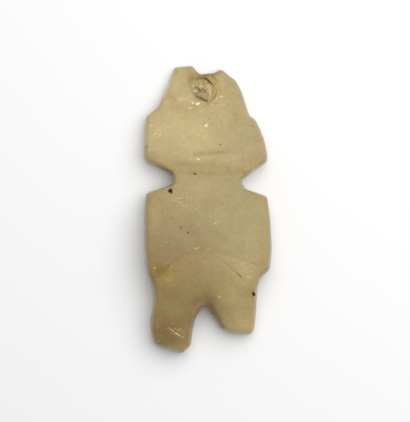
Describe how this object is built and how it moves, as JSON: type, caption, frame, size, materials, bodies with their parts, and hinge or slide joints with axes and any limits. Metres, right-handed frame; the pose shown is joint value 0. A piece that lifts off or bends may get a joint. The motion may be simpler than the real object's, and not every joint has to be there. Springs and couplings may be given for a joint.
{
  "type": "stone figurine pendant",
  "caption": "Flat carved stone figure with a notched neck, grooved forearms, short legs and a drilled hole at the top of the head, lying on its back.",
  "frame": {"origin": "centre of the bounding box, on the surface that the figure lies on", "axes": "+Y towards the top of the head, +Z out of the carved front, +X to the viewer's right"},
  "size_m": [0.0312, 0.0702, 0.0096],
  "materials": {
    "stone": "pale, slightly see-through stone, polished by hand and worn to a waxy sheen, with brown earth in its hollows"
  },
  "bodies": {
    "root": {"figurine": "stone"}
  },
  "joints": []
}
